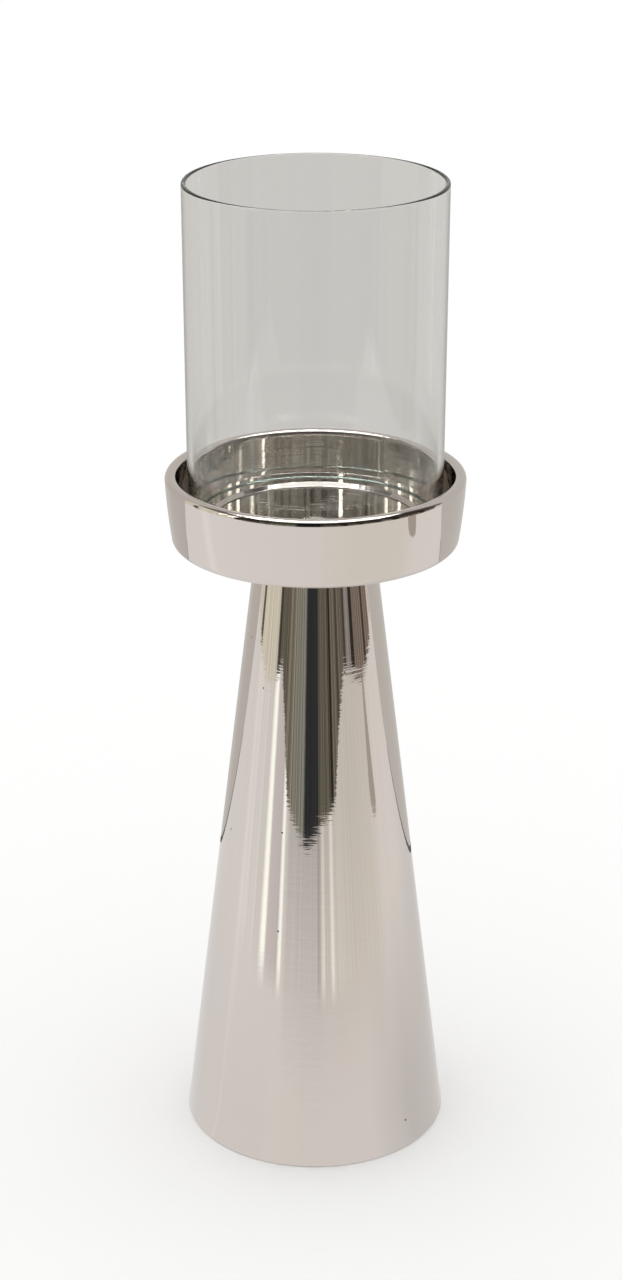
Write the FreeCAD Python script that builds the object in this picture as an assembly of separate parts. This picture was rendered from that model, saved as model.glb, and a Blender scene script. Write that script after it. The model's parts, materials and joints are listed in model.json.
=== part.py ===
"""Hurricane candle lantern: a clear glass cylinder standing in a mirror-polished round tray on a tall polished cone.

All sizes are in millimetres.  The origin is the centre of the foot, on the surface the lantern stands on, and +Z is up.
Every round piece is turned about the Z axis.

How it goes together, from the bottom up:
  a felt pad is glued under a pressed base plate; the base plate sits inside the wide end of the spun cone and carries a
  cast ballast ring; a threaded tie rod runs from the base plate up the middle of the cone; the cone's top end is turned in
  and stiffened by a neck plate; on it lie a gasket and the tray, which is an outer shell and an inner pan joined under the
  rim, with a spacer bush and a soft washer between their floors; a cap nut with a flat domed head closes the rod's upper
  end in the middle of the tray.  The glass cylinder is loose: it stands on the tray's ledge and lifts straight off.
"""

import FreeCAD
import Part

import math
import os

V = FreeCAD.Vector

# ----------------------------------------------------------------------------------------------------------------------
# Driving dimensions
# ----------------------------------------------------------------------------------------------------------------------
TOTAL_H = 472.0          # floor to the top of the glass

# cone
CONE_Z0 = 0.3            # lower edge, held just off the floor by the felt
CONE_R0 = 64.0           # outer radius at the lower edge
CONE_Z1 = 301.5          # top of the turned-in flange
CONE_R1 = 27.77          # outer radius the cone line reaches at the top
SHEET = 1.2              # sheet thickness of the cone and of both tray shells
CONE_FLANGE_HOLE_R = 9.0

# tray
GASKET_T = 1.0
TRAY_Z0 = CONE_Z1 + GASKET_T      # underside of the tray, 302.5
RIM_Z = 335.8            # top of the tray's rim
RIM_R = 70.0             # outer radius of the rim
RIM_IN_R = 64.5          # inner radius of the rolled rim lip
RIM_EDGE_R = 2.6         # rounding of the rim's outer edge
RIM_INNER_EDGE_R = 2.3   # and of its inner edge
LIP_H = 2.9              # height of the rolled-in lip
LEDGE_Z = 313.8          # ledge that the glass stands on
WELL_R = 50.8            # radius of the shallow central well, at the ledge
WELL_FLOOR_R = 49.0      # and at its floor
WELL_Z = 312.0           # floor of the well
SEAM_GAP = 0.05          # solder gap between the pan's wall and the rim's lip

# glass
GLASS_Z0 = LEDGE_Z + 0.1
GLASS_R_TOP = 60.2
GLASS_R_BOT = 59.4
GLASS_T_TOP = 2.2
GLASS_T_BOT = 2.6

# central fastening, M5
ROD_R = 2.45
BORE_R = 2.5
BARREL_R = 3.5
BARREL_HOLE_R = 3.7
HEAD_R = 4.7
HEAD_H = 0.5
WASHER_T = 0.5
NUT_AF = 8.0
NUT_H = 4.7

# foot
FELT_T = 2.0
FELT_R = 60.5
PLATE_T = 2.0
DISH_Z = 12.4            # underside of the raised centre of the base plate
DISH_R = 13.0
BALLAST_H = 10.0
BALLAST_R = 54.0


# ----------------------------------------------------------------------------------------------------------------------
# Helpers
# ----------------------------------------------------------------------------------------------------------------------
def lathe(points):
    """A solid turned about Z.  points is a closed outline of (radius, height) or (radius, height, corner radius)."""
    pts = [(p[0], p[1], p[2] if len(p) > 2 else 0.0) for p in points]
    n = len(pts)
    ins, outs, arcs = [], [], []
    for i in range(n):
        (ax, az, _), (bx, bz, r), (cx, cz, _) = pts[i - 1], pts[i], pts[(i + 1) % n]
        b = V(bx, 0, bz)
        if r <= 0:
            ins.append(b)
            outs.append(b)
            arcs.append(None)
            continue
        u = V(ax - bx, 0, az - bz)
        w = V(cx - bx, 0, cz - bz)
        u.normalize()
        w.normalize()
        half = math.acos(max(-1.0, min(1.0, u.dot(w)))) / 2
        d = r / math.tan(half)
        bis = u + w
        bis.normalize()
        centre = b + bis * (r / math.sin(half))
        ins.append(b + u * d)
        outs.append(b + w * d)
        arcs.append(centre - bis * r)
    edges = []
    for i in range(n):
        if arcs[i] is not None:
            edges.append(Part.Arc(ins[i], arcs[i], outs[i]).toShape())
        j = (i + 1) % n
        if (outs[i] - ins[j]).Length > 1e-7:
            edges.append(Part.LineSegment(outs[i], ins[j]).toShape())
    face = Part.Face(Part.Wire(edges))
    solid = face.revolve(V(0, 0, 0), V(0, 0, 1), 360)
    if solid.ShapeType != "Solid":
        solid = Part.Solid(Part.Shell(solid.Faces))
    if solid.Volume < 0:
        solid.reverse()
    return solid


def ring(r_in, r_out, z0, z1, edge=0.0):
    """A flat turned ring with its outer edges eased."""
    return lathe([(r_in, z0), (r_out, z0, edge), (r_out, z1, edge), (r_in, z1)])


def hexagon(af, z0, z1):
    """A hexagonal prism, its size across the flats."""
    r = af / math.sqrt(3.0)
    pts = [V(r * math.cos(math.radians(60 * k + 30)), r * math.sin(math.radians(60 * k + 30)), z0) for k in range(6)]
    return Part.Face(Part.makePolygon(pts + [pts[0]])).extrude(V(0, 0, z1 - z0))


def cone_r(z):
    """Outer radius of the cone at a height."""
    return CONE_R0 + (CONE_R1 - CONE_R0) * (z - CONE_Z0) / (CONE_Z1 - CONE_Z0)


WALL = SHEET * math.hypot(CONE_Z1 - CONE_Z0, CONE_R0 - CONE_R1) / (CONE_Z1 - CONE_Z0)   # the sheet measured level


# ----------------------------------------------------------------------------------------------------------------------
# Foot
# ----------------------------------------------------------------------------------------------------------------------
def foot_felt():
    """Felt disc under the lantern; the only thing that touches the table."""
    return lathe([(0, 0), (FELT_R, 0, 0.5), (FELT_R, FELT_T, 0.3), (0, FELT_T)])


def base_plate():
    """Pressed disc whose bevelled edge seats against the inside of the cone; its raised centre makes room for the nut."""
    z0, z1 = FELT_T, FELT_T + PLATE_T
    gap = 0.05
    r0, r1 = cone_r(z0) - WALL - gap, cone_r(z1) - WALL - gap
    zt = DISH_Z + PLATE_T
    return lathe([
        (DISH_R + 1.2, z0, 1.5), (r0, z0), (r1, z1), (DISH_R + PLATE_T + 0.9, z1, 1.2),
        (DISH_R + PLATE_T - 0.6, zt, 2.6), (2.8, zt), (2.8, DISH_Z), (DISH_R - 0.6, DISH_Z, 0.9),
    ])


def ballast_ring():
    """Cast-iron ring that weights the foot."""
    z0 = FELT_T + PLATE_T
    return lathe([(18.0, z0, 0.8), (BALLAST_R, z0, 1.0), (BALLAST_R - 1.0, z0 + BALLAST_H, 2.0), (18.6, z0 + BALLAST_H, 1.2)])


def fender_washer():
    return ring(2.7, 8.0, DISH_Z - 1.2, DISH_Z, 0.2)


def spring_washer():
    """Split lock washer, pressed flat."""
    z0 = DISH_Z - 2.4
    body = ring(2.55, 4.6, z0, z0 + 1.2)
    cut = Part.makeBox(5.0, 0.8, 3.0, V(1.5, -0.4, z0 - 0.9))
    cut.rotate(V(4.0, 0, z0 + 0.6), V(1, 0, 0), 25)
    return body.cut(cut)


def hex_nut():
    z0 = DISH_Z - 2.4 - NUT_H
    z1 = z0 + NUT_H
    nut = hexagon(NUT_AF, z0, z1)
    rc = NUT_AF / math.sqrt(3.0)
    ease = lathe([(0, z0), (rc - 0.6, z0), (rc + 0.1, z0 + 0.4), (rc + 0.1, z1 - 0.4), (rc - 0.6, z1), (0, z1)])
    bore = Part.makeCylinder(BORE_R, NUT_H + 0.8, V(0, 0, z0 - 0.4))
    return nut.common(ease).cut(bore)


# ----------------------------------------------------------------------------------------------------------------------
# Column
# ----------------------------------------------------------------------------------------------------------------------
def cone_shell():
    """Spun cone, open at the foot, its top end turned in to a flat flange."""
    ztop, zin = CONE_Z1, CONE_Z1 - SHEET
    return lathe([
        (cone_r(CONE_Z0), CONE_Z0, 0.45), (CONE_R1, ztop, 1.6), (CONE_FLANGE_HOLE_R, ztop), (CONE_FLANGE_HOLE_R, zin),
        (cone_r(zin) - WALL, zin, 0.5), (cone_r(CONE_Z0) - WALL, CONE_Z0, 0.45),
    ])


def neck_plate():
    """Thick disc brazed under the cone's flange; it centres the cap nut's barrel."""
    z1 = CONE_Z1 - SHEET
    return ring(BARREL_HOLE_R, 24.5, z1 - 3.0, z1, 0.6)


def tie_rod():
    """M5 rod, drawn at its thread's outer size; the thread itself is left off."""
    z0, z1, c = 2.6, 307.5, 0.6
    return lathe([(0, z0), (ROD_R - c, z0), (ROD_R, z0 + c), (ROD_R, z1 - c), (ROD_R - c, z1), (0, z1)])


# ----------------------------------------------------------------------------------------------------------------------
# Tray
# ----------------------------------------------------------------------------------------------------------------------
def tray_gasket():
    return ring(12.0, 26.0, CONE_Z1, TRAY_Z0)


def tray_outer_shell():
    """Spun bowl: flat floor, slightly barrelled wall drawn in towards the floor, flat rim with a rolled-in lip."""
    t = SHEET
    zb, zr = TRAY_Z0, RIM_Z
    # outer wall: foot of the wall, its middle and its top, on one shallow arc
    e, i = RIM_EDGE_R, RIM_INNER_EDGE_R
    a, m, b = V(67.25, 0, zb + 3.2), V(68.92, 0, 319.3), V(RIM_R, 0, zr - e)
    edges = []

    def line(p, q):
        edges.append(Part.LineSegment(p, q).toShape())

    def arc(p, q, r):
        edges.append(Part.Arc(p, q, r).toShape())

    c45 = math.sqrt(0.5)
    # floor, outside, from the hole to the corner
    line(V(BARREL_HOLE_R, 0, zb), V(64.1, 0, zb))
    arc(V(64.1, 0, zb), V(64.1 + 3.15 * 0.707, 0, zb + 3.2 - 3.2 * 0.72), a)
    arc(a, m, b)
    # rounded outer edge, flat rim, rounded inner edge, lip
    arc(b, V(RIM_R - e + e * c45, 0, zr - e + e * c45), V(RIM_R - e, 0, zr))
    line(V(RIM_R - e, 0, zr), V(RIM_IN_R + i, 0, zr))
    arc(V(RIM_IN_R + i, 0, zr), V(RIM_IN_R + i - i * c45, 0, zr - i + i * c45), V(RIM_IN_R, 0, zr - i))
    line(V(RIM_IN_R, 0, zr - i), V(RIM_IN_R, 0, zr - LIP_H + 0.5))
    lo = zr - LIP_H
    arc(V(RIM_IN_R, 0, lo + 0.5), V(RIM_IN_R + 0.5 - 0.5 * c45, 0, lo + 0.5 - 0.5 * c45), V(RIM_IN_R + 0.5, 0, lo))
    line(V(RIM_IN_R + 0.5, 0, lo), V(RIM_IN_R + t, 0, lo))
    # underside of the rim and inside of the wall
    line(V(RIM_IN_R + t, 0, lo), V(RIM_IN_R + t, 0, zr - i))
    line(V(RIM_IN_R + t, 0, zr - i), V(RIM_IN_R + i, 0, zr - t))
    line(V(RIM_IN_R + i, 0, zr - t), V(RIM_R - e, 0, zr - t))
    line(V(RIM_R - e, 0, zr - t), V(RIM_R - t - 0.1, 0, zr - e))
    line(V(RIM_R - t - 0.1, 0, zr - e), V(m.x - t, 0, m.z))
    line(V(m.x - t, 0, m.z), V(a.x - t, 0, a.z))
    line(V(a.x - t, 0, a.z), V(64.1, 0, zb + t))
    line(V(64.1, 0, zb + t), V(BARREL_HOLE_R, 0, zb + t))
    line(V(BARREL_HOLE_R, 0, zb + t), V(BARREL_HOLE_R, 0, zb))
    solid = Part.Face(Part.Wire(edges)).revolve(V(0, 0, 0), V(0, 0, 1), 360)
    if solid.Volume < 0:
        solid.reverse()
    return solid


def tray_inner_pan():
    """Spun liner: wall under the rim's lip, a ledge for the glass, and a shallow well with a sloping edge in the middle."""
    t = SHEET
    slope = math.atan2(LEDGE_Z - WELL_Z, WELL_R - WELL_FLOOR_R)
    under = t * math.tan(slope / 2)         # how far the underside of the slope lies outside its upper side
    ro = RIM_IN_R + t + SEAM_GAP            # inside of the pan's wall
    zt = RIM_Z - RIM_INNER_EDGE_R - 0.05    # its edge, just under the rim
    return lathe([
        (BARREL_HOLE_R, WELL_Z), (WELL_FLOOR_R, WELL_Z, 0.8), (WELL_R, LEDGE_Z, 0.4), (ro, LEDGE_Z, 0.5), (ro, zt),
        (ro + t, zt), (ro + t, LEDGE_Z - t, 1.4), (WELL_R + under, LEDGE_Z - t, 0.4), (WELL_FLOOR_R + under, WELL_Z - t, 1.4),
        (BARREL_HOLE_R, WELL_Z - t),
    ])


def spacer_bush():
    """Keeps the two floors of the tray apart under the cap nut."""
    return ring(BARREL_HOLE_R, 9.0, TRAY_Z0 + SHEET, WELL_Z - SHEET - WASHER_T, 0.4)


def cap_washer():
    """Soft washer between the bush and the pan's floor."""
    return ring(BARREL_HOLE_R, 10.0, WELL_Z - SHEET - WASHER_T, WELL_Z - SHEET, 0.1)


def cap_nut():
    """Barrel nut with a plain, flat domed head; it is held while the nut at the foot is tightened."""
    z0 = WELL_Z
    z1 = z0 + HEAD_H
    edges = []
    p = [V(BORE_R, 0, 299.5), V(BARREL_R - 0.4, 0, 299.5), V(BARREL_R, 0, 299.9), V(BARREL_R, 0, z0), V(HEAD_R, 0, z0),
         V(HEAD_R, 0, z0 + 0.12)]
    for k in range(len(p) - 1):
        edges.append(Part.LineSegment(p[k], p[k + 1]).toShape())
    edges.append(Part.Arc(p[-1], V(HEAD_R * 0.72, 0, z0 + 0.37), V(1.6, 0, z1)).toShape())
    q = [V(1.6, 0, z1), V(0, 0, z1), V(0, 0, 308.8), V(BORE_R - 0.4, 0, 308.8), V(BORE_R, 0, 308.4), p[0]]
    for k in range(len(q) - 1):
        edges.append(Part.LineSegment(q[k], q[k + 1]).toShape())
    body = Part.Face(Part.Wire(edges)).revolve(V(0, 0, 0), V(0, 0, 1), 360)
    if body.Volume < 0:
        body.reverse()
    return body


# ----------------------------------------------------------------------------------------------------------------------
# Glass
# ----------------------------------------------------------------------------------------------------------------------
def glass_cylinder():
    """Open glass cylinder with fire-polished ends and a hint of mould draft."""
    return lathe([
        (GLASS_R_BOT, GLASS_Z0, 0.5), (GLASS_R_TOP, TOTAL_H, 1.0),
        (GLASS_R_TOP - GLASS_T_TOP, TOTAL_H, 1.0), (GLASS_R_BOT - GLASS_T_BOT, GLASS_Z0, 0.5),
    ])


PIECES = [
    foot_felt, base_plate, ballast_ring, fender_washer, spring_washer, hex_nut,
    cone_shell, neck_plate, tie_rod,
    tray_gasket, tray_outer_shell, tray_inner_pan, spacer_bush, cap_washer, cap_nut,
    glass_cylinder,
]


def main():
    os.makedirs("parts", exist_ok=True)
    for make in PIECES:
        shape = make()
        if shape.ShapeType != "Solid" and len(shape.Solids) == 1:
            shape = shape.Solids[0]
        assert shape.isValid() and len(shape.Solids) == 1, make.__name__
        shape.exportStep(os.path.join("parts", make.__name__ + ".step"))
        b = shape.BoundBox
        print("%-18s %9.2f mm3   z %7.2f .. %7.2f   r %6.2f" % (make.__name__, shape.Volume, b.ZMin, b.ZMax, b.XMax))


main()
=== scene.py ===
"""Looks of the hurricane candle lantern: mirror-polished nickel cone and tray, clear glass cylinder.

Metres, +Z up, the lantern's axis on Z.  The visible turned pieces are fine lathe meshes on the CAD outlines, because a
mirror finish shows every facet; the small and hidden pieces keep their CAD meshes and get finishes of their own.
"""

import json
import math

import bpy
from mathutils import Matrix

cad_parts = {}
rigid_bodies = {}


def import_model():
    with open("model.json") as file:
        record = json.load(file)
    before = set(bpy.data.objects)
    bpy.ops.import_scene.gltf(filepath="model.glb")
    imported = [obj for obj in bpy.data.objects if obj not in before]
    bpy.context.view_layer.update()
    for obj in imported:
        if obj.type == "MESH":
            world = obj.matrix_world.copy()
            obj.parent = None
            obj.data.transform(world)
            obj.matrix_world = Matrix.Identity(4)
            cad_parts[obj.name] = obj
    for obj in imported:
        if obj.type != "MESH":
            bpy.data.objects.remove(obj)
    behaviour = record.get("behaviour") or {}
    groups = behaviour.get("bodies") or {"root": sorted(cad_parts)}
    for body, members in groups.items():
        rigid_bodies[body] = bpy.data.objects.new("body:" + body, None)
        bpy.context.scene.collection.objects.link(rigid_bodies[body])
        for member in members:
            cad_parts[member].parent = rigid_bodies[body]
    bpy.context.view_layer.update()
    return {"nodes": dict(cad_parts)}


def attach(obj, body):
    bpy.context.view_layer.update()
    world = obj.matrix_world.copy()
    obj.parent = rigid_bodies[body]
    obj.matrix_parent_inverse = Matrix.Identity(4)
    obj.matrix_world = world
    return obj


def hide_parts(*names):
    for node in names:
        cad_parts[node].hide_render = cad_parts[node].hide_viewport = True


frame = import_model()
nodes = frame["nodes"]
scene = bpy.context.scene

MM = 0.001


# ----------------------------------------------------------------------------------------------------------------------
# Turned meshes
# ----------------------------------------------------------------------------------------------------------------------
def outline(points, arc_step=7.5):
    """A closed outline of (r, z[, corner radius]) in mm, as (r, z, nr, nz) samples with exact outward normals.

    Sharp corners give two samples at one place, so that each side keeps its own normal.  The outline runs so that the
    metal is on its left when r points right and z up.
    """
    pts = [(p[0], p[1], p[2] if len(p) > 2 else 0.0) for p in points]
    n = len(pts)
    out = []
    for i in range(n):
        (ax, az, _), (bx, bz, r), (cx, cz, _) = pts[i - 1], pts[i], pts[(i + 1) % n]
        ux, uz = bx - ax, bz - az
        wx, wz = cx - bx, cz - bz
        lu, lw = math.hypot(ux, uz), math.hypot(wx, wz)
        ux, uz, wx, wz = ux / lu, uz / lu, wx / lw, wz / lw
        turn = math.atan2(ux * wz - uz * wx, ux * wx + uz * wz)
        n0 = (uz, -ux)
        n1 = (wz, -wx)
        if r <= 0:
            out.append((bx, bz) + n0)
            if abs(turn) > 1e-4:
                out.append((bx, bz) + n1)
            continue
        d = r * math.tan(abs(turn) / 2)
        s = 1 if turn > 0 else -1
        px, pz = bx - ux * d, bz - uz * d
        ox, oz = px - n0[0] * r * s, pz - n0[1] * r * s
        steps = max(3, int(math.ceil(math.degrees(abs(turn)) / arc_step)))
        a0 = math.atan2(n0[1], n0[0])
        for k in range(steps + 1):
            a = a0 + turn * k / steps
            out.append((ox + s * r * math.cos(a), oz + s * r * math.sin(a), math.cos(a), math.sin(a)))
    return out


def divide(samples, longest=4.0):
    """Long straight runs of an outline cut into even lengths."""
    out = []
    n = len(samples)
    for i in range(n):
        a, b = samples[i], samples[(i + 1) % n]
        out.append(a)
        k = int(math.hypot(b[0] - a[0], b[1] - a[1]) / longest)
        same = abs(a[2] - b[2]) + abs(a[3] - b[3]) < 0.2
        if k > 0 and same:
            for j in range(1, k + 1):
                t = j / (k + 1)
                nr, nz = a[2] + (b[2] - a[2]) * t, a[3] + (b[3] - a[3]) * t
                l = math.hypot(nr, nz)
                out.append((a[0] + (b[0] - a[0]) * t, a[1] + (b[1] - a[1]) * t, nr / l, nz / l))
    return out


def turned(name, samples, segments=384):
    """A closed mesh turned about Z from outline samples, in mm, with the outline's exact normals."""
    rings, places = [], []
    for s in samples:
        key = (round(s[0], 5), round(s[1], 5))
        if places and key == places[-1]:
            rings[-1].append(s)
        elif places and key == places[0] and len(rings) > 2:
            rings[0].append(s)
        else:
            places.append(key)
            rings.append([s])
    count = len(places)
    verts, faces, normals = [], [], []
    for r, z in places:
        for k in range(segments):
            a = 2 * math.pi * k / segments
            verts.append((r * MM * math.cos(a), r * MM * math.sin(a), z * MM))

    def corner(nr, nz, k):
        a = 2 * math.pi * k / segments
        return (nr * math.cos(a), nr * math.sin(a), nz)

    def leaving(i):
        return rings[i][-1][2:4]

    def arriving(i):
        return rings[i][0][2:4]

    # the first ring can hold its samples in wrapped order, so pick by the direction of each run
    def run_normal(i, j, at):
        (r0, z0), (r1, z1) = places[i], places[j]
        l = math.hypot(r1 - r0, z1 - z0)
        nx, nz = (z1 - z0) / l, -(r1 - r0) / l
        return max(rings[at], key=lambda s: s[2] * nx + s[3] * nz)[2:4]

    for i in range(count):
        j = (i + 1) % count
        ni, nj = run_normal(i, j, i), run_normal(i, j, j)
        for k in range(segments):
            m = (k + 1) % segments
            faces.append((i * segments + k, i * segments + m, j * segments + m, j * segments + k))
            normals.extend([corner(*ni, k), corner(*ni, k + 1), corner(*nj, k + 1), corner(*nj, k)])
    mesh = bpy.data.meshes.new(name)
    mesh.from_pydata(verts, [], faces)
    mesh.polygons.foreach_set("use_smooth", [True] * len(faces))
    mesh.normals_split_custom_set(normals)
    mesh.update()
    obj = bpy.data.objects.new(name, mesh)
    scene.collection.objects.link(obj)
    return obj


# ----------------------------------------------------------------------------------------------------------------------
# Outlines, the same sizes as the CAD model
# ----------------------------------------------------------------------------------------------------------------------
SHEET = 1.2
CONE_Z0, CONE_R0, CONE_Z1, CONE_R1, CONE_HOLE = 0.3, 64.0, 301.5, 27.77, 9.0
TRAY_Z0, RIM_Z, RIM_R, RIM_IN, LIP_H, RIM_EDGE, RIM_INNER = 302.5, 335.8, 70.0, 64.5, 2.9, 2.6, 2.3
LEDGE_Z, WELL_Z, WELL_R, WELL_FLOOR_R, HOLE_R = 313.8, 312.0, 50.8, 49.0, 3.7
GLASS_Z0, GLASS_Z1, GLASS_RB, GLASS_RT, GLASS_TB, GLASS_TT = 313.9, 472.0, 59.4, 60.2, 2.6, 2.2


def cone_r(z):
    return CONE_R0 + (CONE_R1 - CONE_R0) * (z - CONE_Z0) / (CONE_Z1 - CONE_Z0)


WALL = SHEET * math.hypot(CONE_Z1 - CONE_Z0, CONE_R0 - CONE_R1) / (CONE_Z1 - CONE_Z0)


def cone_outline():
    zin = CONE_Z1 - SHEET
    return divide(outline([
        (CONE_R0, CONE_Z0, 0.45), (CONE_R1, CONE_Z1, 1.6), (CONE_HOLE, CONE_Z1), (CONE_HOLE, zin),
        (cone_r(zin) - WALL, zin, 0.5), (CONE_R0 - WALL, CONE_Z0, 0.45),
    ]), 6.0)


def arc_through(a, m, b, steps):
    """Samples of the arc through three points, with normals away from its centre."""
    ax, ay, bx, by, cx, cy = *a, *m, *b
    d = 2 * (ax * (by - cy) + bx * (cy - ay) + cx * (ay - by))
    ux = ((ax * ax + ay * ay) * (by - cy) + (bx * bx + by * by) * (cy - ay) + (cx * cx + cy * cy) * (ay - by)) / d
    uy = ((ax * ax + ay * ay) * (cx - bx) + (bx * bx + by * by) * (ax - cx) + (cx * cx + cy * cy) * (bx - ax)) / d
    r = math.hypot(ax - ux, ay - uy)
    t0, t1 = math.atan2(ay - uy, ax - ux), math.atan2(cy - uy, cx - ux)
    out = []
    for k in range(steps + 1):
        t = t0 + (t1 - t0) * k / steps
        out.append((ux + r * math.cos(t), uy + r * math.sin(t), math.cos(t), math.sin(t)))
    return out


def tray_outline():
    """Outer shell of the tray: flat floor, shallow barrelled wall, flat rim with rounded edges and a rolled-in lip."""
    t, zb, zr, e, i = SHEET, TRAY_Z0, RIM_Z, RIM_EDGE, RIM_INNER
    wall = arc_through((67.25, zb + 3.2), (68.92, 319.3), (RIM_R, zr - e), 24)
    out = [(HOLE_R, zb, 0, -1), (64.1, zb, 0, -1)]
    # corner between the floor and the wall, blended to the wall's own slope
    n_end = math.atan2(wall[0][3], wall[0][2])
    for k in range(1, 12):
        a = -math.pi / 2 + (n_end + math.pi / 2) * k / 12
        out.append((64.1 + 3.16 * math.cos(a), zb + 3.2 + 3.2 * math.sin(a), math.cos(a), math.sin(a)))
    out += wall
    n_end = math.atan2(wall[-1][3], wall[-1][2])
    for k in range(1, 17):
        a = math.pi / 2 * k / 16
        b = n_end + (math.pi / 2 - n_end) * k / 16
        out.append((RIM_R - e + e * math.cos(a), zr - e + e * math.sin(a), math.cos(b), math.sin(b)))
    for k in range(17):
        a = math.pi / 2 + math.pi / 2 * k / 16
        out.append((RIM_IN + i + i * math.cos(a), zr - i + i * math.sin(a), math.cos(a), math.sin(a)))
    lo = zr - LIP_H
    for k in range(7):
        a = math.pi + math.pi / 2 * k / 6
        out.append((RIM_IN + 0.5 + 0.5 * math.cos(a), lo + 0.5 + 0.5 * math.sin(a), math.cos(a), math.sin(a)))
    out += [(RIM_IN + t, lo, 0, -1), (RIM_IN + t, lo, 1, 0), (RIM_IN + t, zr - i, 1, 0), (RIM_IN + t, zr - i, 0.7, -0.7),
            (RIM_IN + i, zr - t, 0.7, -0.7), (RIM_IN + i, zr - t, 0, -1),
            (RIM_R - e, zr - t, 0, -1), (RIM_R - e, zr - t, -0.7, -0.7), (RIM_R - t - 0.1, zr - e, -0.7, -0.7),
            (RIM_R - t - 0.1, zr - e, -1, 0.07)]
    out += [(68.92 - t, 319.3, -1, 0.07), (67.25 - t, zb + 3.2, -1, 0.12), (67.25 - t, zb + 3.2, -0.55, 0.84),
            (64.1, zb + t, -0.4, 0.92), (64.1, zb + t, 0, 1), (HOLE_R, zb + t, 0, 1), (HOLE_R, zb + t, -1, 0),
            (HOLE_R, zb, -1, 0)]
    return divide(out, 6.0)


def pan_outline():
    """Inner pan of the tray: wall, ledge for the glass, slope down to the shallow well."""
    t = SHEET
    under = t * math.tan(math.atan2(LEDGE_Z - WELL_Z, WELL_R - WELL_FLOOR_R) / 2)
    ro = RIM_IN + t + 0.05
    zt = RIM_Z - RIM_INNER - 0.05
    pts = [
        (HOLE_R, WELL_Z), (WELL_FLOOR_R, WELL_Z, 0.8), (WELL_R, LEDGE_Z, 0.4), (ro, LEDGE_Z, 0.5), (ro, zt),
        (ro + t, zt), (ro + t, LEDGE_Z - t, 1.4), (WELL_R + under, LEDGE_Z - t, 0.4), (WELL_FLOOR_R + under, WELL_Z - t, 1.4),
        (HOLE_R, WELL_Z - t),
    ]
    return divide(outline(pts[::-1]), 4.0)


def glass_outline():
    return divide(outline([
        (GLASS_RB, GLASS_Z0, 0.5), (GLASS_RT, GLASS_Z1, 1.0), (GLASS_RT - GLASS_TT, GLASS_Z1, 1.0),
        (GLASS_RB - GLASS_TB, GLASS_Z0, 0.5),
    ], arc_step=9.0), 8.0)


# ----------------------------------------------------------------------------------------------------------------------
# Materials
# ----------------------------------------------------------------------------------------------------------------------
class Nodes:
    """Short hands for a node tree."""

    def __init__(self, tree):
        self.tree = tree
        tree.nodes.clear()

    def add(self, kind, _inputs=None, **props):
        node = self.tree.nodes.new(kind)
        for k, v in props.items():
            setattr(node, k, v)
        for k, v in (_inputs or {}).items():
            self.put(node.inputs[k], v)
        return node

    def put(self, socket, value):
        if hasattr(value, "is_output") or isinstance(value, bpy.types.NodeSocket):
            self.tree.links.new(value, socket)
        else:
            socket.default_value = value

    def math(self, op, a, b=None, c=None, clamp=False):
        node = self.add("ShaderNodeMath", operation=op, use_clamp=clamp)
        for i, v in enumerate((a, b, c)):
            if v is not None:
                self.put(node.inputs[i], v)
        return node.outputs[0]

    def ramp(self, fac, stops, interpolation="LINEAR"):
        node = self.add("ShaderNodeValToRGB")
        ramp = node.color_ramp
        ramp.interpolation = interpolation
        while len(ramp.elements) > 1:
            ramp.elements.remove(ramp.elements[-1])
        first = True
        for pos, col in stops:
            col = tuple(col) + (1.0,) if len(col) == 3 else tuple(col)
            if first:
                ramp.elements[0].position = pos
                ramp.elements[0].color = col
                first = False
            else:
                e = ramp.elements.new(pos)
                e.color = col
        self.put(node.inputs[0], fac)
        return node.outputs[0]

    def mix(self, fac, a, b, blend="MIX"):
        node = self.add("ShaderNodeMix", data_type="RGBA", blend_type=blend)
        self.put(node.inputs[0], fac)
        self.put(node.inputs[6], tuple(a) + (1.0,) if isinstance(a, tuple) and len(a) == 3 else a)
        self.put(node.inputs[7], tuple(b) + (1.0,) if isinstance(b, tuple) and len(b) == 3 else b)
        return node.outputs[2]


def new_material(name):
    mat = bpy.data.materials.new(name)
    mat.use_nodes = True
    return mat, Nodes(mat.node_tree)


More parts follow.
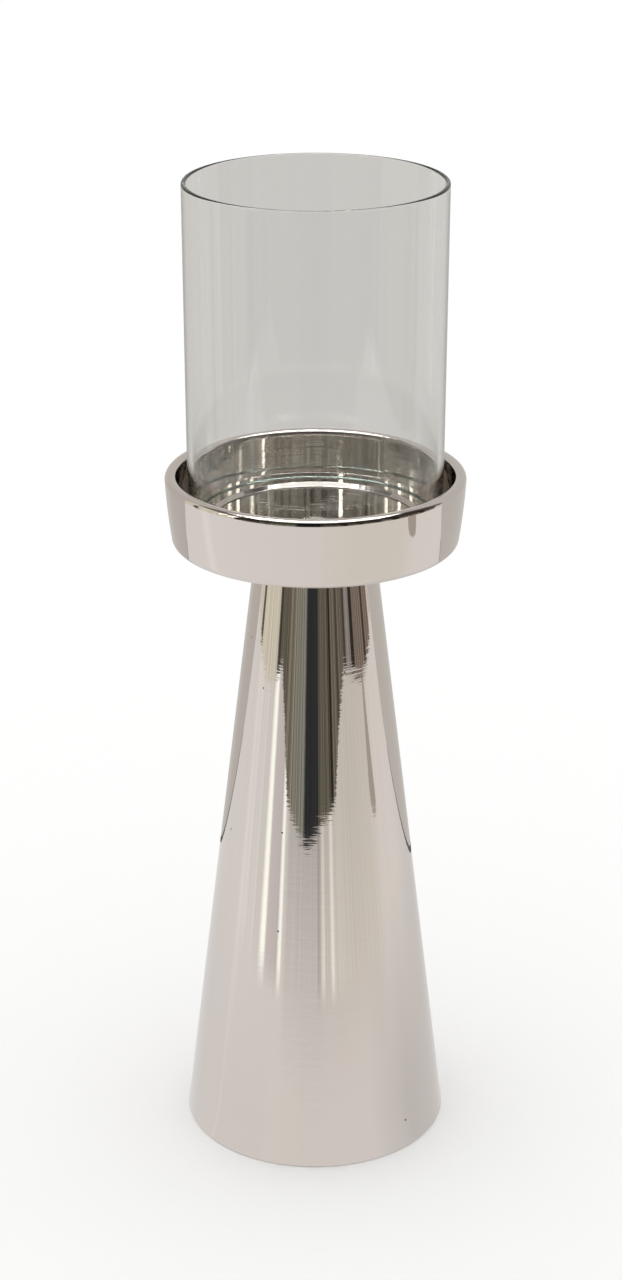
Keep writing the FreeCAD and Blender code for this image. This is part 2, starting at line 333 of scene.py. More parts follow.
def nickel(name, round_face=False, painted_shade=1.0, edge=1.0, fine_um=3.6, pitch=1.1, broad_um=10.0, cloud_um=12.0, wave_um=0.0, wave_mm=3.0, scratch=0.0, lean=0.0, dent_um=0.0, dent_per_m=(130.0, 130.0, 300.0), clean=0.94):
    """Mirror-polished warm nickel: faint turning lines, cloudy polish marks and a few pin specks.

    The turning lines follow the profile: the height on an upright wall, or height and radius together on a dished
    piece.
    lean is the slope by which an upright wall closes in towards its mouth; clean is the share of the face without
    specks; the colour can be dimmed as a whole by a factor, which is painted shade for a piece lying in shade.
    """
    mat, n = new_material(name)
    out = n.add("ShaderNodeOutputMaterial")
    bsdf = n.add("ShaderNodeBsdfPrincipled")
    n.tree.links.new(bsdf.outputs[0], out.inputs[0])
    place = n.add("ShaderNodeTexCoord").outputs["Object"]
    xyz = n.add("ShaderNodeSeparateXYZ", {0: place})
    along = xyz.outputs[2]
    flat = n.add("ShaderNodeCombineXYZ", {0: xyz.outputs[0], 1: xyz.outputs[1]})
    if round_face:
        radius = n.add("ShaderNodeVectorMath", {0: flat.outputs[0]}, operation="LENGTH").outputs["Value"]
        along = n.math("ADD", along, radius)
    # turning lines: fine noise along the profile only, wandering slightly round the piece
    drift = n.add("ShaderNodeTexNoise", {"Vector": place, "Scale": 9.0, "Detail": 1.0}).outputs[0]
    at = n.math("ADD", n.math("MULTIPLY", along, 1000.0), n.math("MULTIPLY", drift, 0.9))
    fine = n.add("ShaderNodeTexNoise", {"W": at, "Scale": 1.0 / pitch, "Detail": 2.0, "Roughness": 0.45},
                 noise_dimensions="1D").outputs[0]
    broad = n.add("ShaderNodeTexNoise", {"W": at, "Scale": 0.085, "Detail": 1.0}, noise_dimensions="1D").outputs[0]
    cloud = n.add("ShaderNodeTexNoise", {"Vector": place, "Scale": 26.0, "Detail": 2.0}).outputs[0]
    height = n.math("ADD", n.math("MULTIPLY", fine, fine_um * 1e-6),
                    n.math("ADD", n.math("MULTIPLY", broad, broad_um * 1e-6), n.math("MULTIPLY", cloud, cloud_um * 1e-6)))
    if wave_um:
        rings = n.add("ShaderNodeTexNoise", {"W": at, "Scale": 1.0 / wave_mm, "Detail": 1.0}, noise_dimensions="1D").outputs[0]
        height = n.math("ADD", height, n.math("MULTIPLY", rings, wave_um * 1e-6))
    if scratch:
        # short scuffs round the piece: thin lines along the turning, let through in patches
        patch = n.ramp(n.add("ShaderNodeTexNoise", {"Vector": place, "Scale": 38.0, "Detail": 2.0}).outputs[0], [(0.50, (0, 0, 0)), (0.62, (1, 1, 1))])
        line = n.ramp(n.add("ShaderNodeTexNoise", {"W": at, "Scale": 0.75, "Detail": 2.0, "Roughness": 0.6}, noise_dimensions="1D").outputs[0],
                      [(0.56, (0, 0, 0)), (0.66, (1, 1, 1))])
        height = n.math("ADD", height, n.math("MULTIPLY", n.math("MULTIPLY", line, patch), scratch * 1e-6))
    if lean:
        height = n.math("ADD", height, n.math("MULTIPLY", xyz.outputs[2], lean))
    if dent_um:
        # tiny flat dents of the polishing wheel, wider than high; they make upright reflections run jagged
        dent = n.add("ShaderNodeMapping", {0: place})
        dent.inputs["Scale"].default_value = dent_per_m
        dents = n.add("ShaderNodeTexNoise", {"Vector": dent.outputs[0], "Scale": 1.0, "Detail": 2.0, "Roughness": 0.55}).outputs[0]
        height = n.math("ADD", height, n.math("MULTIPLY", dents, dent_um * 1e-6))
    bump = n.add("ShaderNodeBump", {"Height": height, "Strength": 1.0, "Distance": 1.0})
    n.tree.links.new(bump.outputs[0], bsdf.inputs["Normal"])
    # colour: warm nickel, a trace darker in the polish clouds, pin specks
    turn = n.math("ARCTAN2", xyz.outputs[1], xyz.outputs[0])
    skin = n.add("ShaderNodeCombineXYZ", {0: n.math("MULTIPLY", turn, 2.6), 1: n.math("MULTIPLY", along, 48.0)})
    spots = n.add("ShaderNodeTexVoronoi", {"Vector": skin.outputs[0], "Scale": 1.0, "Randomness": 1.0}, voronoi_dimensions="2D", feature="F1")
    tone = n.add("ShaderNodeTexNoise", {"Vector": place, "Scale": 6.0, "Detail": 3.0}).outputs[0]
    # painted shade: the whole colour is dimmed by the given factor, so a piece in shade is drawn darker than the same
    # nickel in the open
    col = n.mix(n.math("MULTIPLY", tone, 0.5), (0.735 * painted_shade, 0.685 * painted_shade, 0.652 * painted_shade), (0.705 * painted_shade, 0.654 * painted_shade, 0.618 * painted_shade))
    keep = n.math("GREATER_THAN", n.add("ShaderNodeSeparateXYZ", {0: spots.outputs["Color"]}).outputs[0], clean)
    speck = n.math("MULTIPLY", n.math("LESS_THAN", spots.outputs["Distance"], 0.026), keep)
    col = n.mix(speck, col, (0.16, 0.145, 0.13))
    n.put(bsdf.inputs["Base Color"], col)
    bsdf.inputs["Metallic"].default_value = 1.0
    bsdf.inputs["Specular Tint"].default_value = (edge, edge, edge, 1.0)
    rough = n.math("ADD", n.math("MULTIPLY", tone, 0.03), 0.022)
    rough = n.math("ADD", rough, n.math("MULTIPLY", speck, 0.4))
    n.put(bsdf.inputs["Roughness"], rough)
    return mat


def clear_glass():
    """Clear soda glass: slightly green in the depth of the wall, very faint drawing lines."""
    mat, n = new_material("clear_glass")
    out = n.add("ShaderNodeOutputMaterial")
    bsdf = n.add("ShaderNodeBsdfPrincipled")
    n.tree.links.new(bsdf.outputs[0], out.inputs[0])
    place = n.add("ShaderNodeTexCoord").outputs["Object"]
    stretch = n.add("ShaderNodeMapping", {0: place})
    stretch.inputs["Scale"].default_value = (60.0, 60.0, 2.0)
    lines = n.add("ShaderNodeTexNoise", {"Vector": stretch.outputs[0], "Scale": 1.0, "Detail": 1.5}).outputs[0]
    # a few short hairline scratches and specks from use
    tall = n.add("ShaderNodeMapping", {0: place})
    tall.inputs["Scale"].default_value = (150.0, 150.0, 36.0)
    tall.inputs["Rotation"].default_value = (0.12, 0.08, 0.0)
    mark = n.add("ShaderNodeTexVoronoi", {"Vector": tall.outputs[0], "Scale": 1.0, "Randomness": 1.0}, feature="F1")
    some = n.math("GREATER_THAN", n.add("ShaderNodeSeparateXYZ", {0: mark.outputs["Color"]}).outputs[1], 0.955)
    scratch = n.math("MULTIPLY", n.ramp(mark.outputs["Distance"], [(0.03, (1, 1, 1)), (0.11, (0, 0, 0))]), some)
    height = n.math("ADD", n.math("MULTIPLY", lines, 0.00004), n.math("MULTIPLY", scratch, 0.00005))
    bump = n.add("ShaderNodeBump", {"Height": height, "Strength": 1.0, "Distance": 1.0})
    n.tree.links.new(bump.outputs[0], bsdf.inputs["Normal"])
    # glass seen edge-on is painted darker and greener in its base colour: the green follows the glass's own tint, the
    # darkness is painted shade for the dark room that the edge of the tube refracts
    facing = n.add("ShaderNodeLayerWeight", {0: 0.5}).outputs["Facing"]
    edge = n.ramp(facing, [(0.74, (1.0, 1.0, 1.0)), (0.80, (0.66, 0.68, 0.665)), (0.855, (0.24, 0.27, 0.255)), (0.95, (0.10, 0.12, 0.11))])
    # the painted dark edge only on the outside of the tube: not its bore, its foot or its fire-polished rim, and not
    # light led along inside the wall
    at = n.add("ShaderNodeSeparateXYZ", {0: place})
    foot = n.ramp(at.outputs[2], [((GLASS_Z0 + 0.9) * MM, (1, 1, 1)), ((GLASS_Z0 + 2.5) * MM, (0, 0, 0))])
    mouth = n.ramp(at.outputs[2], [((GLASS_Z1 - 1.2) * MM, (0, 0, 0)), ((GLASS_Z1 - 0.7) * MM, (0.75, 0.75, 0.75))])
    across = n.add("ShaderNodeCombineXYZ", {0: at.outputs[0], 1: at.outputs[1]})
    bore = n.math("LESS_THAN", n.add("ShaderNodeVectorMath", {0: across.outputs[0]}, operation="LENGTH").outputs["Value"], 58.7 * MM)
    inside = n.add("ShaderNodeNewGeometry").outputs["Backfacing"]
    clear = n.math("MAXIMUM", n.math("MAXIMUM", foot, mouth), n.math("MAXIMUM", bore, inside))
    n.put(bsdf.inputs["Base Color"], n.mix(clear, edge, (1.0, 1.0, 1.0)))
    bsdf.inputs["Roughness"].default_value = 0.0
    bsdf.inputs["IOR"].default_value = 1.5
    bsdf.inputs["Specular Tint"].default_value = (0.5, 0.5, 0.5, 1.0)
    bsdf.inputs["Transmission Weight"].default_value = 1.0
    depth = n.add("ShaderNodeVolumeAbsorption")
    depth.inputs["Color"].default_value = (0.73, 0.87, 0.82, 1)
    depth.inputs["Density"].default_value = 12.0
    n.tree.links.new(depth.outputs[0], out.inputs["Volume"])
    return mat


def plain_metal(name, colour, dark, rough, scale, metallic=1.0, bump=0.00002, rough_var=0.15):
    """Plated or cast metal with a mottled tone and a fine surface."""
    mat, n = new_material(name)
    out = n.add("ShaderNodeOutputMaterial")
    bsdf = n.add("ShaderNodeBsdfPrincipled")
    n.tree.links.new(bsdf.outputs[0], out.inputs[0])
    place = n.add("ShaderNodeTexCoord").outputs["Object"]
    big = n.add("ShaderNodeTexNoise", {"Vector": place, "Scale": scale, "Detail": 4.0}).outputs[0]
    small = n.add("ShaderNodeTexNoise", {"Vector": place, "Scale": scale * 14, "Detail": 3.0}).outputs[0]
    n.put(bsdf.inputs["Base Color"], n.mix(n.math("MULTIPLY", n.math("ADD", big, small), 0.5), dark, colour))
    bsdf.inputs["Metallic"].default_value = metallic
    n.put(bsdf.inputs["Roughness"], n.math("ADD", n.math("MULTIPLY", big, rough_var), rough - rough_var / 2))
    b = n.add("ShaderNodeBump", {"Height": n.math("MULTIPLY", n.math("ADD", small, n.math("MULTIPLY", big, 3.0)), bump),
                                 "Strength": 1.0, "Distance": 1.0})
    n.tree.links.new(b.outputs[0], bsdf.inputs["Normal"])
    return mat


def felt():
    """Pressed black felt: tangled fibres."""
    mat, n = new_material("felt")
    out = n.add("ShaderNodeOutputMaterial")
    bsdf = n.add("ShaderNodeBsdfPrincipled")
    n.tree.links.new(bsdf.outputs[0], out.inputs[0])
    place = n.add("ShaderNodeTexCoord").outputs["Object"]
    warp = n.add("ShaderNodeTexNoise", {"Vector": place, "Scale": 300.0, "Detail": 2.0})
    bent = n.add("ShaderNodeMix", {0: 0.02, 4: place, 5: warp.outputs[1]}, data_type="VECTOR")
    f1 = n.add("ShaderNodeTexNoise", {"Vector": bent.outputs[1], "Scale": 1500.0, "Detail": 4.0}).outputs[0]
    f2 = n.add("ShaderNodeTexNoise", {"Vector": place, "Scale": 90.0, "Detail": 3.0}).outputs[0]
    n.put(bsdf.inputs["Base Color"], n.mix(n.math("MULTIPLY", n.math("ADD", f1, f2), 0.5), (0.012, 0.012, 0.013), (0.055, 0.054, 0.056)))
    bsdf.inputs["Roughness"].default_value = 0.95
    bsdf.inputs["Sheen Weight"].default_value = 0.35
    bsdf.inputs["Sheen Roughness"].default_value = 0.6
    b = n.add("ShaderNodeBump", {"Height": n.math("MULTIPLY", n.math("ADD", f1, f2), 0.0003), "Strength": 1.0, "Distance": 1.0})
    n.tree.links.new(b.outputs[0], bsdf.inputs["Normal"])
    return mat


def soft_plastic(name, colour, dark, rough, scale):
    return plain_metal(name, colour, dark, rough, scale, metallic=0.0, bump=0.00004)


nickel_cone = nickel("nickel_cone", dent_um=14.0)
nickel_tray = nickel("nickel_tray", fine_um=1.2, broad_um=8.0)
# the pan is the tray's nickel with its colour dimmed to 0.84: painted shade for the hollow inside the tray
nickel_pan = nickel("nickel_pan", round_face=True, painted_shade=0.84, edge=0.5, fine_um=9.0, pitch=0.6, broad_um=14.0, wave_um=22.0, wave_mm=2.6, scratch=46.0, lean=0.030, dent_um=21.0, dent_per_m=(240.0, 240.0, 280.0), clean=0.99)
glass = clear_glass()
zinc = plain_metal("zinc_steel", (0.66, 0.66, 0.67), (0.50, 0.50, 0.52), 0.33, 60.0)
iron = plain_metal("cast_iron", (0.13, 0.13, 0.135), (0.05, 0.05, 0.052), 0.75, 90.0, metallic=0.6, bump=0.0001)
alu = plain_metal("bush_aluminium", (0.74, 0.74, 0.75), (0.62, 0.62, 0.64), 0.30, 120.0)
rubber = soft_plastic("gasket_rubber", (0.035, 0.035, 0.036), (0.018, 0.018, 0.018), 0.7, 160.0)
nylon = soft_plastic("nylon", (0.80, 0.78, 0.72), (0.70, 0.68, 0.62), 0.45, 200.0)
felt_mat = felt()
satin = plain_metal("satin_nickel", (0.86, 0.84, 0.81), (0.78, 0.76, 0.73), 0.48, 220.0, bump=0.000004, rough_var=0.08)


def finish(obj, mat):
    obj.data.materials.clear()
    obj.data.materials.append(mat)


def node_finish(name, mat):
    obj = nodes[name]
    for i in range(len(obj.material_slots)):
        obj.material_slots[i].material = mat
    if not obj.material_slots:
        obj.data.materials.append(mat)


# ----------------------------------------------------------------------------------------------------------------------
# Pieces
# ----------------------------------------------------------------------------------------------------------------------
def piece(name, samples, mat, body, node, segments=384):
    obj = turned(name, samples, segments)
    finish(obj, mat)
    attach(obj, body)
    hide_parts(node)
    return obj


piece("cone", cone_outline(), nickel_cone, "stand", "cone_shell")
piece("tray_bowl", tray_outline(), nickel_tray, "stand", "tray_outer_shell")
piece("tray_liner", pan_outline(), nickel_pan, "stand", "tray_inner_pan")
piece("glass_tube", glass_outline(), glass, "glass", "glass_cylinder")

for node_name, mat in {
    "cap_nut": satin, "cap_washer": nylon, "spacer_bush": alu, "tray_gasket": rubber, "neck_plate": zinc,
    "tie_rod": zinc, "base_plate": zinc, "ballast_ring": iron, "fender_washer": zinc, "spring_washer": zinc,
    "hex_nut": zinc, "foot_felt": felt_mat,
}.items():
    node_finish(node_name, mat)


# ----------------------------------------------------------------------------------------------------------------------
# Stage: pale floor, studio walls that only reflections and the glass see, soft light
# ----------------------------------------------------------------------------------------------------------------------
def plain_sheet(name, corners):
    mesh = bpy.data.meshes.new(name)
    mesh.from_pydata(corners, [], [tuple(range(len(corners)))])
    mesh.update()
    obj = bpy.data.objects.new(name, mesh)
    scene.collection.objects.link(obj)
    return obj


def glow(name, colour, strength):
    mat, n = new_material(name)
    out = n.add("ShaderNodeOutputMaterial")
    e = n.add("ShaderNodeEmission")
    e.inputs[0].default_value = tuple(colour) + (1.0,)
    e.inputs[1].default_value = strength
    n.tree.links.new(e.outputs[0], out.inputs[0])
    return mat


def studio(name, corners, colour, strength=1.0):
    """A board of the studio, seen in reflections and through the glass but not by the camera itself."""
    obj = plain_sheet(name, corners)
    finish(obj, glow(name, colour, strength))
    obj.visible_camera = False
    obj.visible_diffuse = False
    obj.visible_shadow = False
    obj.visible_volume_scatter = False
    return obj


floor = plain_sheet("floor", [(-30, -30, -0.0002), (30, -30, -0.0002), (30, 30, -0.0002), (-30, 30, -0.0002)])
# the floor has only an upper face, so that the foot can be looked at from below
mat, n = new_material("floor")
out = n.add("ShaderNodeOutputMaterial")
bsdf = n.add("ShaderNodeBsdfPrincipled")
one_sided = n.add("ShaderNodeMixShader", {0: n.add("ShaderNodeNewGeometry").outputs["Backfacing"], 1: bsdf.outputs[0],
                                          2: n.add("ShaderNodeBsdfTransparent").outputs[0]})
n.tree.links.new(one_sided.outputs[0], out.inputs[0])
bsdf.inputs["Base Color"].default_value = (0.93, 0.93, 0.925, 1)
bsdf.inputs["Roughness"].default_value = 0.9
bsdf.inputs["Specular IOR Level"].default_value = 0.0
finish(floor, mat)
floor.visible_glossy = False
floor.visible_transmission = False

LOW = -0.0004
WALL_H = 1.1


def deg(a):
    return 0.5 + a / 360.0


def azimuth_of(n, x, y):
    """Once round the lantern as 0..1: 0.5 is the front, larger to the right."""
    return n.math("ADD", n.math("DIVIDE", n.math("ARCTAN2", x, n.math("MULTIPLY", y, -1.0)), 2 * math.pi), 0.5)


def fine_streaks(n, turn, low, high, scale=240.0):
    """Narrow upright light and dark lines, as a mirror cone shows."""
    fine = n.add("ShaderNodeTexNoise", {"W": turn, "Scale": scale, "Detail": 3.0, "Roughness": 0.62}, noise_dimensions="1D").outputs[0]
    return n.ramp(fine, [(0.36, (low, low, low)), (0.5, (1, 1, 1)), (0.64, (high, high * 0.985, high * 0.95))])


def upright(name, path, z0, z1, colour, streaky=None):
    """Studio boards standing along a line of (x, y) points."""
    for i in range(len(path) - 1):
        (x0, y0), (x1, y1) = path[i], path[i + 1]
        obj = studio("%s_%d" % (name, i), [(x0, y0, z0), (x1, y1, z0), (x1, y1, z1), (x0, y0, z1)], colour)
        if streaky:
            mat, n = new_material("%s_%d" % (name, i))
            out = n.add("ShaderNodeOutputMaterial")
            spot = n.add("ShaderNodeSeparateXYZ", {0: n.add("ShaderNodeTexCoord").outputs["Object"]})
            lines = fine_streaks(n, azimuth_of(n, spot.outputs[0], spot.outputs[1]), *streaky)
            shine = n.add("ShaderNodeEmission", {0: n.mix(1.0, tuple(colour), lines, "MULTIPLY")})
            n.tree.links.new(shine.outputs[0], out.inputs[0])
            finish(obj, mat)


# pale ground board; its front edge runs a little unevenly. Its glow carries painted light: painted glare lines, light
# and shade painted round it, a painted shadow close to the lantern, and a painted reflection of the dark front that
# makes it darker seen flat
table = studio("table", [(-1.13, -0.88, LOW), (-0.85, -0.87, LOW), (-0.53, -0.735, LOW), (-0.13, -0.777, LOW), (0.09, -0.85, LOW),
                         (0.40, -0.845, LOW), (0.62, -1.01, LOW), (0.80, -1.065, LOW), (1.03, -1.06, LOW), (1.15, -0.66, LOW),
                         (1.15, 0.33, LOW), (-1.13, 0.42, LOW)], (1, 1, 1))
mat, n = new_material("table_top")
out = n.add("ShaderNodeOutputMaterial")
spot = n.add("ShaderNodeSeparateXYZ", {0: n.add("ShaderNodeTexCoord").outputs["Object"]})
far = n.add("ShaderNodeVectorMath", {0: n.add("ShaderNodeTexCoord").outputs["Object"]}, operation="LENGTH").outputs["Value"]
# lines on the board run so that the cone mirrors them upright: they leave its foot at twice the angle of the foot point
angle = n.math("ARCTAN2", spot.outputs[0], n.math("MULTIPLY", spot.outputs[1], -1.0))
share = n.math("DIVIDE", 0.060, n.math("MAXIMUM", far, 0.061))
lean = angle
for _ in range(3):
    lean = n.math("ADD", angle, n.math("ARCSINE", n.math("MULTIPLY", share, n.math("SINE", n.math("MULTIPLY", lean, 0.5)))))
round_by = n.math("ADD", n.math("DIVIDE", lean, 2 * math.pi), 0.5)
# painted glare: lines where lamps glint off the board, and a few duller lines between them
GLARE = [(-180, 1.0), (-90, 1.0), (-87, 1.12), (-85, 1.0), (-76, 1.0), (-74, 1.06), (-72, 0.97), (-64, 0.96), (-62, 1.5), (-57.5, 1.55),
         (-55.5, 0.9), (-52, 0.83), (-42, 0.83), (-40.5, 1.5), (-38, 1.5), (-36.5, 1.0), (1.5, 1.0), (3, 0.84), (5, 0.84), (6.5, 1.0), (7.5, 1.36), (9.5, 1.36), (10.5, 1.0), (16.5, 1.0), (17.7, 1.42), (19.7, 1.42),
         (21, 1.05), (30, 1.08), (36, 1.0), (37.5, 1.12), (39, 1.0), (180, 1.0)]
glare = n.ramp(round_by, [(deg(a), (v, 1 + (v - 1) * 1.2, 1 + (v - 1) * 1.08)) for a, v in GLARE])
glare = n.mix(1.0, glare, fine_streaks(n, round_by, 0.95, 1.06, 160.0), "MULTIPLY")
facing = n.add("ShaderNodeLayerWeight", {0: 0.5}).outputs["Facing"]
flat_seen = n.ramp(facing, [(0.62, (0, 0, 0)), (0.72, (1, 1, 1))])
reach = n.mix(1.0, flat_seen, n.ramp(far, [(0.34, (0, 0, 0)), (0.42, (1, 1, 1))]), "MULTIPLY")
glare = n.mix(reach, (1.0, 1.0, 1.0), glare)
# painted light and shade: the board's glow is brighter or darker round the lantern by how the room's light falls on it
painted_light_round = n.ramp(round_by, [(deg(-180), (0.80, 0.78, 0.77)), (deg(-110), (0.86, 0.845, 0.835)), (deg(-100), (0.87, 0.85, 0.84)), (deg(-94), (0.96, 0.945, 0.925)),
                         (deg(-88), (0.88, 0.865, 0.86)), (deg(-45), (0.86, 0.845, 0.825)), (deg(0), (0.845, 0.825, 0.805)),
                         (deg(30), (0.805, 0.78, 0.725)), (deg(72), (0.81, 0.785, 0.735)), (deg(85), (0.865, 0.845, 0.82)), (deg(112), (0.865, 0.84, 0.825)),
                         (deg(150), (0.72, 0.70, 0.69)), (deg(180), (0.75, 0.73, 0.72))])
# painted shadow: close to the lantern the board's glow is darkened, most round the back, for the shadow the lantern
# casts on it
painted_shadow_close = n.ramp(round_by, [(deg(-180), (0.76, 0.76, 0.755)), (deg(-130), (0.79, 0.785, 0.78)), (deg(-110), (0.833, 0.81, 0.80)), (deg(-98.5), (0.833, 0.81, 0.80)),
                          (deg(-97.4), (0.93, 0.91, 0.895)), (deg(-96.3), (0.835, 0.81, 0.798)), (deg(-48), (0.835, 0.81, 0.798)), (deg(-40), (0.85, 0.828, 0.80)),
                          (deg(-20), (0.845, 0.82, 0.79)), (deg(-12), (0.83, 0.806, 0.79)), (deg(30), (0.84, 0.81, 0.80)), (deg(52), (0.835, 0.808, 0.80)),
                          (deg(60), (0.79, 0.775, 0.76)), (deg(78), (0.74, 0.728, 0.715)), (deg(95), (0.68, 0.67, 0.655)), (deg(130), (0.70, 0.69, 0.68)),
                          (deg(180), (0.74, 0.73, 0.72))])
painted_light_round = n.mix(n.ramp(far, [(0.12, (0, 0, 0)), (0.45, (1, 1, 1))]), painted_shadow_close, painted_light_round)
# painted reflection: seen flat the board's glow is darkened, most towards the dark front, as a glossy board mirrors the
# dark room
flat_on = n.ramp(facing, [(0.69, (0, 0, 0)), (0.785, (0.31, 0.31, 0.31)), (0.85, (0.36, 0.36, 0.36))])
dark_side = n.ramp(round_by, [(deg(-180), (0.1, 0.1, 0.1)), (deg(-46), (0.1, 0.1, 0.1)), (deg(-36), (0.15, 0.15, 0.15)), (deg(-32), (0.9, 0.9, 0.9)), (deg(4), (1, 1, 1)), (deg(14), (0.6, 0.6, 0.6)),
                              (deg(32), (0.45, 0.45, 0.45)), (deg(70), (0.35, 0.35, 0.35)), (deg(90), (0.1, 0.1, 0.1)), (deg(180), (0.1, 0.1, 0.1))])
painted_dark_reflection = n.add("ShaderNodeInvert", {1: n.mix(1.0, flat_on, dark_side, "MULTIPLY")})
shine = n.add("ShaderNodeEmission", {0: n.mix(1.0, n.mix(1.0, painted_light_round, glare, "MULTIPLY"), painted_dark_reflection.outputs[0], "MULTIPLY")})
n.tree.links.new(shine.outputs[0], out.inputs[0])
finish(table, mat)

upright("wall_back_left", [(-1.13, 0.42), (-0.62, 0.345), (-0.25, 0.315)], LOW, WALL_H, (0.580, 0.553, 0.526))
upright("wall_back", [(-0.25, 0.315), (0.25, 0.290), (0.75, 0.272), (1.15, 0.33)], LOW, WALL_H, (0.606, 0.587, 0.561))
# painted shade: a low dark strip along the foot of the back wall, for the shade where the wall meets the board
upright("wall_gap", [(-0.60, 0.340), (-0.25, 0.312), (0.25, 0.287), (0.62, 0.274)], LOW, 0.004, (0.12, 0.11, 0.10))
upright("wall_left", [(-1.13, -0.605), (-1.13, 0.42)], LOW, WALL_H, (0.76, 0.73, 0.62), (0.80, 1.22, 150.0))
STRAIGHT = ("wall_left", "strip_left", "slot_left", "wall_gap", "joint_right")
for k, y in enumerate((-0.56, -0.49, -0.31)):
    upright("strip_left_%d" % k, [(-1.12, y - 0.013), (-1.12, y + 0.013)], 0.60, WALL_H, (5.0, 4.9, 4.6))
upright("slot_left", [(-1.12, 0.09), (-1.12, 0.185)], 0.006, 0.7, (0.14, 0.13, 0.095))
studio("joint_right", [(0.664, -0.126, 0.0), (0.668, -0.168, 0.0), (0.692, -0.202, 0.0), (0.745, -0.236, 0.0), (1.14, -0.337, 0.0), (1.14, -0.268, 0.0), (0.74, -0.120, 0.0), (0.686, -0.106, 0.0)], (0.47, 0.43, 0.38))

for obj in scene.objects:
    if obj.name.startswith(STRAIGHT):
        obj.visible_transmission = False

world = bpy.data.worlds.new("studio")
scene.world = world
world.use_nodes = True
world.cycles.sampling_method = "NONE"
n = Nodes(world.node_tree)
out = n.add("ShaderNodeOutputWorld")
way_vector = n.add("ShaderNodeTexCoord").outputs["Generated"]
way = n.add("ShaderNodeSeparateXYZ", {0: way_vector})
dx, dy, dz = way.outputs
turn = azimuth_of(n, dx, dy)
level = n.math("ADD", n.math("DIVIDE", n.math("ARCSINE", dz), math.pi), 0.5)      # 0.5 is the horizon

# the studio's dim front, as bands round the horizon
BLACK = (0.034, 0.036, 0.038)
BANDS_LEFT = [
    (-180, (0.60, 0.58, 0.56)), (-62.5, (0.70, 0.67, 0.58)), (-61.5, (0.045, 0.043, 0.036)), (-58.5, (0.045, 0.043, 0.036)),
    (-57, (0.145, 0.133, 0.104)), (-42, (0.15, 0.138, 0.108)), (-40.5, (0.32, 0.295, 0.23)), (-39, (0.32, 0.295, 0.23)),
    (-37.5, (0.10, 0.093, 0.075)), (-35, (0.27, 0.255, 0.205)), (-15.5, (0.255, 0.265, 0.235)), (-13.5, BLACK), (0, BLACK),
]
BANDS_RIGHT = [
    (0, BLACK), (3.5, BLACK), (5, (0.15, 0.138, 0.11)), (19, (0.14, 0.13, 0.104)), (21, (0.02, 0.018, 0.016)), (23, (0.02, 0.018, 0.016)),
    (24.5, (0.22, 0.195, 0.16)), (32, (0.16, 0.142, 0.115)), (34, (0.05, 0.045, 0.036)), (36, (0.18, 0.16, 0.13)),
    (44, (0.16, 0.142, 0.115)), (46, (0.075, 0.068, 0.056)), (48.5, (0.075, 0.068, 0.056)), (50, (0.31, 0.295, 0.28)),
    (57, (0.31, 0.295, 0.28)), (58.5, (0.035, 0.03, 0.026)), (63.5, (0.035, 0.03, 0.026)), (65.5, (0.24, 0.20, 0.175)),
    (83, (0.22, 0.18, 0.15)), (84.5, (0.05, 0.04, 0.034)), (86.5, (0.05, 0.04, 0.034)), (88, (0.24, 0.19, 0.16)),
    (99, (0.25, 0.20, 0.17)), (101, (0.75, 0.72, 0.68)), (112, (0.60, 0.58, 0.56)), (180, (0.60, 0.58, 0.56)),
]
bands = n.mix(n.math("GREATER_THAN", turn, 0.5), n.ramp(turn, [(deg(a), c) for a, c in BANDS_LEFT]),
              n.ramp(turn, [(deg(a), c) for a, c in BANDS_RIGHT]))
bands = n.mix(1.0, bands, fine_streaks(n, turn, 0.5, 1.6), "MULTIPLY")
# it gets darker upwards, but for a few studio lamps which only the inside of the tray mirrors, by its second reflection
path = n.add("ShaderNodeLightPath")
twice = n.math("GREATER_THAN", path.outputs["Glossy Depth"], 1.5)
dim_once = n.ramp(level, [(0.5, (1, 1, 1)), (0.5 + 6 / 180, (0.25, 0.25, 0.25))])
dim_twice = n.ramp(level, [(0.5, (1, 1, 1)), (0.5 + 6 / 180, (0.3, 0.3, 0.3)), (0.5 + 12 / 180, (0.35, 0.35, 0.35)), (0.5 + 15 / 180, (0.4, 0.4, 0.4)),
                           (0.5 + 32 / 180, (0.35, 0.35, 0.35))])
bands = n.mix(1.0, bands, n.mix(twice, dim_once, dim_twice), "MULTIPLY")


def lamp_ring(base, lamps, streaks):
    """Light round the horizon: a soft base broken by streaks, and narrow lamps (from, to, strength) over it."""
    soft = n.mix(1.0, n.ramp(turn, [(deg(a), (v * 0.97, v, v * 0.90)) for a, v in base]), fine_streaks(n, turn, *streaks), "MULTIPLY")
    stops = [(-180.0, 0.0)]
    for a, b, v in lamps:
        stops += [(a - 0.5, 0.0), (a, v), (b, v), (b + 0.5, 0.0)]
    return n.mix(1.0, soft, n.ramp(turn, [(deg(a), (v * 0.97, v, v * 0.92)) for a, v in stops]), "ADD")


lamps_wall = lamp_ring([(-180, 0.70), (-110, 0.60), (-90, 0.36), (-58, 0.25), (-30, 0.34), (-8, 0.66), (8, 0.66), (30, 0.52), (60, 0.53), (95, 0.6), (112, 0.8), (180, 0.7)],
                       [(-97, -94.5, 2.4), (-58.5, -57.3, 1.0), (45.8, 47.4, 8.0), (68, 71, 1.8)], (0.72, 1.25, 70.0))
lamps_floor = lamp_ring([(-180, 0.70), (-90, 0.74), (-64, 0.70), (-58, 0.46), (-30, 0.30), (-8, 0.33), (8, 0.33), (30, 0.40), (60, 0.52), (100, 0.60), (112, 0.8), (180, 0.7)],
                        [(-95, -91.5, 6.0), (-79.5, -77, 7.0), (-65.5, -63.5, 6.0), (-23, -20.2, 8.0), (55.8, 57.4, 5.0), (69.5, 72.5, 6.0), (79, 82, 5.0)], (0.35, 1.8, 70.0))
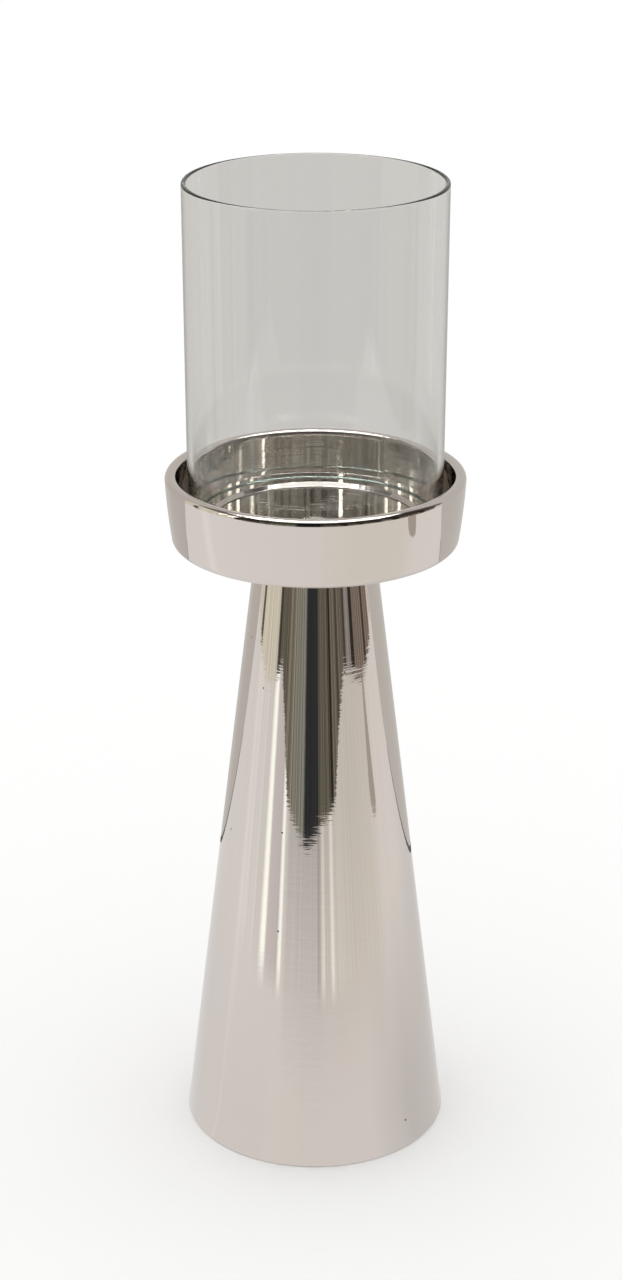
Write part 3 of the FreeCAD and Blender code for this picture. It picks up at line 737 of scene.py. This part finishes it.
lamps = n.mix(n.ramp(level, [(0.5 + 18.0 / 180, (0, 0, 0)), (0.5 + 18.8 / 180, (1, 1, 1))]), lamps_floor, lamps_wall)
high = n.ramp(level, [(0.5 + 8 / 180, (0.6, 0.6, 0.6)), (0.5 + 13 / 180, (1, 1, 1)), (0.5 + 27 / 180, (1, 1, 1)), (0.5 + 34 / 180, (0.2, 0.2, 0.2))])
bands = n.mix(twice, bands, n.mix(1.0, bands, n.mix(1.0, lamps, high, "MULTIPLY"), "ADD"))
# soft light overhead: lamps in a strip straight above, softer panels behind it, even light towards the front
up = n.ramp(level, [(0.5 + 54 / 180, (0, 0, 0)), (0.5 + 61 / 180, (1, 1, 1))])
broken = n.add("ShaderNodeTexNoise", {"Vector": way_vector, "Scale": 20.0, "Detail": 2.0}).outputs[0]
spots = n.ramp(broken, [(0.44, (0.6, 0.588, 0.572)), (0.52, (1.4, 1.385, 1.35)), (0.59, (14.0, 13.9, 13.6))])
soft = n.ramp(broken, [(0.40, (0.72, 0.705, 0.69)), (0.60, (1.12, 1.10, 1.07))])
front_back = n.math("ADD", dy, 0.5)
panels = n.mix(n.ramp(front_back, [(0.68, (1, 1, 1)), (0.76, (0, 0, 0))]), soft, spots)
panels = n.mix(n.ramp(front_back, [(0.26, (1, 1, 1)), (0.36, (0, 0, 0))]), panels, (1.6, 1.58, 1.535))
room = n.mix(up, bands, panels)
plain = n.math("ADD", path.outputs["Is Camera Ray"], path.outputs["Is Diffuse Ray"], clamp=True)
# straight through the glass the studio is a plain pale backdrop, from any side
through = n.math("MULTIPLY", path.outputs["Is Transmission Ray"], n.math("LESS_THAN", path.outputs["Glossy Depth"], 0.5))
room = n.mix(through, room, (0.606, 0.594, 0.574))
col = n.mix(plain, room, (1.09, 1.09, 1.09))
bg = n.add("ShaderNodeBackground", {0: col})
n.tree.links.new(bg.outputs[0], out.inputs[0])

# ----------------------------------------------------------------------------------------------------------------------
# Camera, at the photograph's viewing angle
# ----------------------------------------------------------------------------------------------------------------------
cam = bpy.data.cameras.new("camera")
cam.sensor_width = 36.0
cam.lens = 2751.9 * 36.0 / 1280.0
camera = bpy.data.objects.new("camera", cam)
camera.location = (-0.0021, -1.2127, 0.7401)
camera.rotation_euler = (math.pi / 2 - 0.383, 0.0, 0.0)
scene.collection.objects.link(camera)
scene.camera = camera

scene.view_settings.view_transform = "Standard"
scene.view_settings.look = "None"
scene.cycles.max_bounces = 64
scene.cycles.glossy_bounces = 48
scene.cycles.transmission_bounces = 32
scene.cycles.transparent_max_bounces = 16
